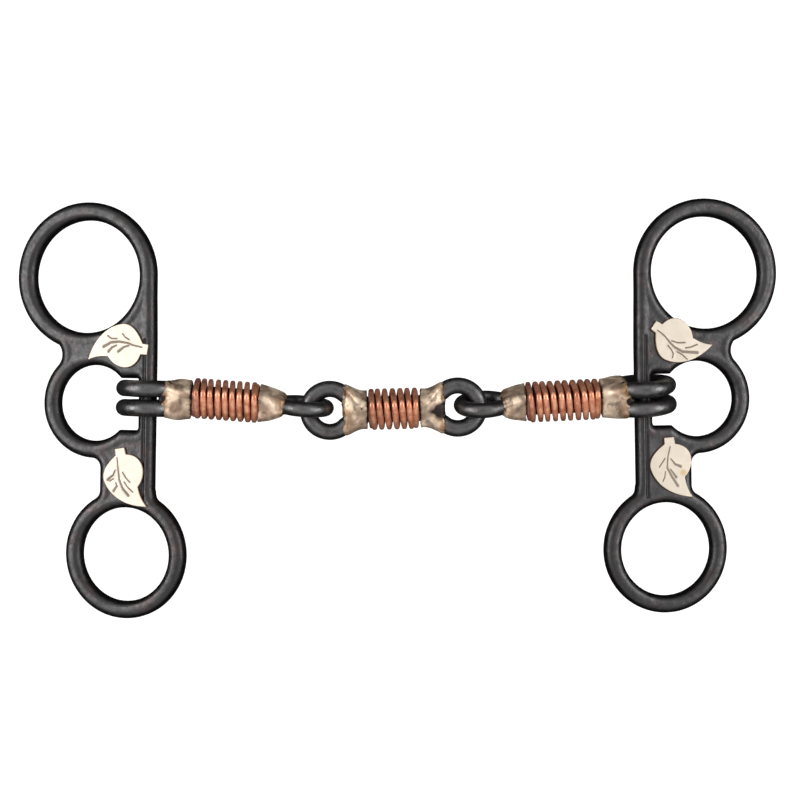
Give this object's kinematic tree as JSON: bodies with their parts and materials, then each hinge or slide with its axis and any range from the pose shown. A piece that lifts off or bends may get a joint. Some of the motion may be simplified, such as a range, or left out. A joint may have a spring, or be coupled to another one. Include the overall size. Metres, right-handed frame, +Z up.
{
  "type": "curb bit",
  "caption": "Short-shank horse curb bit with loose ring cheeks that turn on a jointed, copper-wrapped dogbone mouthpiece.",
  "frame": {"origin": "middle of the bit's footprint, on the flat surface it lies on", "axes": "+X along the mouthpiece to the right, +Y up the cheeks toward the headstall rings, +Z up out of the surface"},
  "size_m": [0.2024, 0.111, 0.0183],
  "materials": {
    "iron": "dark browned satin iron",
    "copper": "used copper wire",
    "braze": "rough brazed bronze, worn bright on top",
    "german_silver": "polished German silver, engraved"
  },
  "bodies": {
    "dogbone": {"dogbone_core": "iron", "dogbone_copper_wire": "copper", "dogbone_left_eye": "iron", "dogbone_right_eye": "iron", "dogbone_left_braze": "braze", "dogbone_right_braze": "braze"},
    "left_arm": {"left_arm_upper_loop": "iron", "left_arm_lower_loop": "iron", "left_arm_core": "iron", "left_arm_copper_wire": "copper", "left_arm_eye": "iron", "left_arm_inner_braze": "braze", "left_arm_outer_braze": "braze"},
    "right_arm": {"right_arm_upper_loop": "iron", "right_arm_lower_loop": "iron", "right_arm_core": "iron", "right_arm_copper_wire": "copper", "right_arm_eye": "iron", "right_arm_inner_braze": "braze", "right_arm_outer_braze": "braze"},
    "left_cheek": {"left_cheek": "iron", "left_upper_leaf": "german_silver", "left_lower_leaf": "german_silver"},
    "right_cheek": {"right_cheek": "iron", "right_upper_leaf": "german_silver", "right_lower_leaf": "german_silver"}
  },
  "joints": [
    {"name": "left_fold", "type": "hinge", "parent": "dogbone", "child": "left_arm", "pos_m": [-0.02357, 0.00024, 0.00784], "axis": [0.0786, 0.9873, 0.1382], "range_deg": [-80, 90]},
    {"name": "right_fold", "type": "hinge", "parent": "dogbone", "child": "right_arm", "pos_m": [0.02173, 0.00084, 0.00784], "axis": [0.0516, -0.96, -0.275], "range_deg": [-80, 90]},
    {"name": "left_swivel", "type": "hinge", "parent": "left_arm", "child": "left_cheek", "pos_m": [-0.06567, 0.00104, 0.01085], "axis": [0.0164, 0.9999, 0], "range_deg": [-140, 165]},
    {"name": "right_swivel", "type": "hinge", "parent": "right_arm", "child": "right_cheek", "pos_m": [0.06513, 0.00224, 0.00819], "axis": [0.0162, -0.9999, 0], "range_deg": [-145, 165]}
  ]
}
